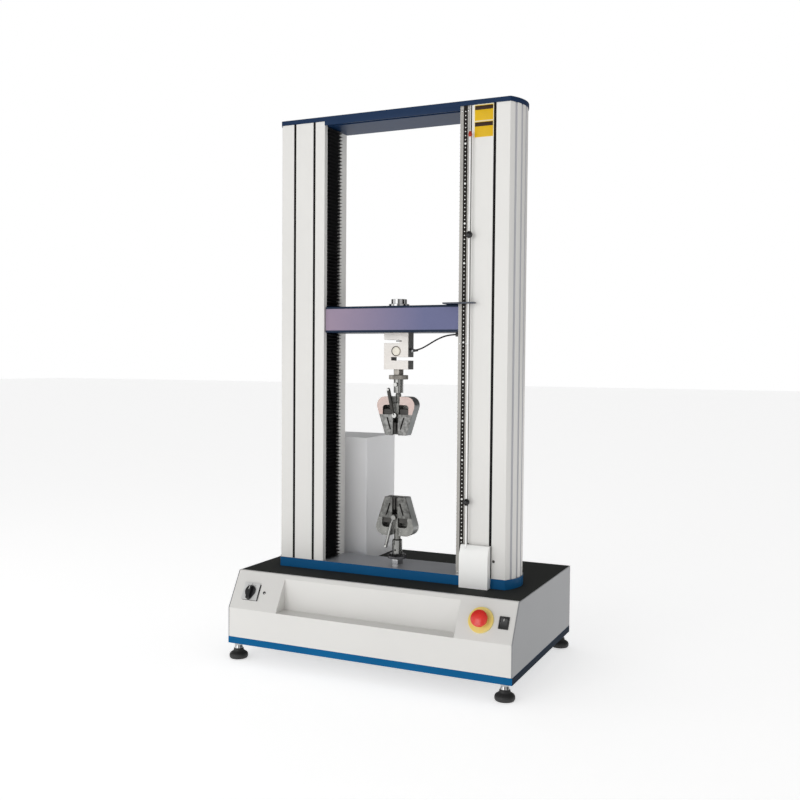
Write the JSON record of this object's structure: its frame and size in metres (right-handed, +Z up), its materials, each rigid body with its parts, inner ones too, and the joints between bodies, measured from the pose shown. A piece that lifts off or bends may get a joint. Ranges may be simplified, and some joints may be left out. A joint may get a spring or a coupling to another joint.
{
  "type": "universal testing machine",
  "caption": "Floor-standing two-column electromechanical testing machine with moving crosshead, S-type load cell, wedge grips, bellows and travel-limit rod.",
  "frame": {"origin": "on the floor, under the middle of the base", "axes": "+X to the right seen from the front, +Y to the back, +Z up"},
  "size_m": [0.804, 0.5338, 1.459],
  "materials": {
    "white_paint": "smooth satin warm white",
    "blue_paint": "smooth satin blue",
    "navy_paint": "smooth satin dark navy",
    "crosshead_paint": "satin blue violet",
    "grey_paint": "smooth light grey",
    "black_paint": "satin black",
    "frame_steel": "primed welded steel",
    "ground_steel": "finely ground",
    "grip_steel": "bead blasted",
    "black_steel": "blackened",
    "cell_metal": "matt light cream",
    "chrome": "bright plated",
    "black_rubber": "matt",
    "black_mat": "fine ribbed mat",
    "bellows_rubber": "pleated coated cloth",
    "cable_rubber": "smooth sheath",
    "black_plastic": "fine grained",
    "yellow_plastic": "smooth",
    "red_plastic": "smooth"
  },
  "bodies": {
    "machine_frame": {"base_tray": "blue_paint", "base_cover": "white_paint", "front_panel": "white_paint", "base_frame": "frame_steel", "deck_mat": "black_mat", "foot_pads": "black_rubber", "foot_studs": "chrome", "bed_plate": "ground_steel", "column_left": "white_paint", "column_right": "white_paint", "slot_covers": "black_plastic", "top_plate": "navy_paint", "cross_beam": "blue_paint", "guide_rods": "chrome", "screw_bearings": "frame_steel", "servo_motor": "black_paint", "timing_belt": "black_rubber", "power_inlet": "black_plastic", "rear_housing": "grey_paint", "ruler_strip": "black_plastic", "switch_housing": "white_paint", "rotary_plate": "ground_steel", "estop_disc": "yellow_plastic", "rocker_frame": "black_plastic", "lower_hex_nut": "chrome", "lower_spindle": "chrome", "lower_grip_body": "grip_steel", "lower_grip_plates": "grip_steel"},
    "crosshead": {"crosshead_beam": "crosshead_paint", "crosshead_bearings": "ground_steel", "crosshead_nut": "chrome", "trip_finger": "blue_paint", "load_cell": "cell_metal", "cell_gland": "black_plastic", "cell_cable": "cable_rubber", "upper_hex_nut": "chrome", "upper_coupling": "chrome", "bellows_lower": "bellows_rubber", "bellows_upper": "bellows_rubber"},
    "screw_left": {"ball_screw_left": "ground_steel"},
    "screw_right": {"ball_screw_right": "ground_steel"},
    "motor_rotor": {"motor_pulley": "ground_steel"},
    "upper_ring": {"upper_lock_ring": "ground_steel"},
    "lower_ring": {"lower_lock_ring": "ground_steel"},
    "coupling_pin": {"upper_pin": "chrome"},
    "upper_grip": {"upper_grip_body": "grip_steel", "upper_grip_plates": "grip_steel"},
    "upper_jaw_l": {"upper_jaw_left": "black_steel"},
    "upper_jaw_r": {"upper_jaw_right": "black_steel"},
    "upper_handle": {"upper_lever": "black_steel"},
    "lower_jaw_l": {"lower_jaw_left": "black_steel"},
    "lower_jaw_r": {"lower_jaw_right": "black_steel"},
    "lower_handle": {"lower_lever": "chrome"},
    "trip_rod": {"limit_rod": "chrome", "rod_cap": "red_plastic"},
    "stop_upper": {"collar_upper": "black_plastic"},
    "stop_lower": {"collar_lower": "black_plastic"},
    "switch_knob": {"rotary_knob": "black_plastic"},
    "stop_button": {"estop_button": "red_plastic"},
    "rocker_key": {"rocker": "black_plastic"}
  },
  "joints": [
    {"name": "crosshead_travel", "type": "slide", "parent": "machine_frame", "child": "crosshead", "axis": [0, 0, 1], "range_m": [-0.15, 0.15], "deforming": ["bellows_lower", "bellows_upper"]},
    {"name": "left_screw_turn", "type": "hinge", "parent": "machine_frame", "child": "screw_left", "pos_m": [-0.238, -0.043, 0.6], "axis": [0, 0, 1], "continuous": true},
    {"name": "right_screw_turn", "type": "hinge", "parent": "machine_frame", "child": "screw_right", "pos_m": [0.238, -0.043, 0.6], "axis": [0, 0, 1], "continuous": true},
    {"name": "motor_turn", "type": "hinge", "parent": "machine_frame", "child": "motor_rotor", "pos_m": [-0.26, 0.15, 0.2], "axis": [0, 0, 1], "continuous": true},
    {"name": "upper_ring_turn", "type": "hinge", "parent": "crosshead", "child": "upper_ring", "pos_m": [0, -0.043, 0.76], "axis": [0, 0, 1], "continuous": true},
    {"name": "lower_ring_turn", "type": "hinge", "parent": "machine_frame", "child": "lower_ring", "pos_m": [0, -0.043, 0.276], "axis": [0, 0, 1], "continuous": true},
    {"name": "coupling_pin_pull", "type": "slide", "parent": "crosshead", "child": "coupling_pin", "axis": [0, -1, 0], "range_m": [0, 0.012]},
    {"name": "upper_grip_swing", "type": "hinge", "parent": "crosshead", "child": "upper_grip", "pos_m": [0, -0.043, 0.7405], "axis": [0, 1, 0], "range_deg": [-3, 3]},
    {"name": "upper_lever_turn", "type": "hinge", "parent": "upper_grip", "child": "upper_handle", "pos_m": [0, -0.067, 0.658], "axis": [0, -1, 0], "range_deg": [0, 55]},
    {"name": "upper_left_jaw_slide", "type": "slide", "parent": "upper_grip", "child": "upper_jaw_l", "axis": [-0.3022, 0, 0.9532], "range_m": [0, 0.01]},
    {"name": "upper_right_jaw_slide", "type": "slide", "parent": "upper_grip", "child": "upper_jaw_r", "axis": [0.3022, 0, 0.9532], "range_m": [0, 0.01]},
    {"name": "lower_lever_turn", "type": "hinge", "parent": "machine_frame", "child": "lower_handle", "pos_m": [0, -0.067, 0.383], "axis": [0, 1, 0], "range_deg": [0, 55]},
    {"name": "lower_left_jaw_slide", "type": "slide", "parent": "machine_frame", "child": "lower_jaw_l", "axis": [-0.3022, 0, -0.9532], "range_m": [0, 0.01]},
    {"name": "lower_right_jaw_slide", "type": "slide", "parent": "machine_frame", "child": "lower_jaw_r", "axis": [0.3022, 0, -0.9532], "range_m": [0, 0.01]},
    {"name": "limit_rod_slide", "type": "slide", "parent": "machine_frame", "child": "trip_rod", "axis": [0, 0, 1], "range_m": [-0.004, 0.004], "stiffness_N_per_m": 2500},
    {"name": "upper_collar_slide", "type": "slide", "parent": "trip_rod", "child": "stop_upper", "axis": [0, 0, 1], "range_m": [0, 0.22]},
    {"name": "lower_collar_slide", "type": "slide", "parent": "trip_rod", "child": "stop_lower", "axis": [0, 0, 1], "range_m": [-0.08, 0.32]},
    {"name": "rotary_switch_turn", "type": "hinge", "parent": "machine_frame", "child": "switch_knob", "pos_m": [-0.344, -0.23313, 0.182], "axis": [0, -0.8706, 0.4921], "range_deg": [-90, 0]},
    {"name": "emergency_stop_push", "type": "slide", "parent": "machine_frame", "child": "stop_button", "axis": [0, 0.8706, -0.4921], "range_m": [0, 0.004], "stiffness_N_per_m": 900, "springref_m": -0.001},
    {"name": "rocker_tilt", "type": "hinge", "parent": "machine_frame", "child": "rocker_key", "pos_m": [0.37, -0.23139, 0.18102], "axis": [1, 0, 0], "range_deg": [-14, 0]}
  ],
  "couplings": [
    {"joint": "left_screw_turn", "follows": "crosshead_travel", "rad_per_m": 314.16},
    {"joint": "right_screw_turn", "follows": "crosshead_travel", "rad_per_m": 314.16},
    {"joint": "motor_turn", "follows": "crosshead_travel", "rad_per_m": 471.24},
    {"joint": "upper_left_jaw_slide", "follows": "upper_lever_turn", "m_per_rad": 0.010417},
    {"joint": "upper_right_jaw_slide", "follows": "upper_lever_turn", "m_per_rad": 0.010417},
    {"joint": "lower_left_jaw_slide", "follows": "lower_lever_turn", "m_per_rad": 0.010417},
    {"joint": "lower_right_jaw_slide", "follows": "lower_lever_turn", "m_per_rad": 0.010417}
  ]
}
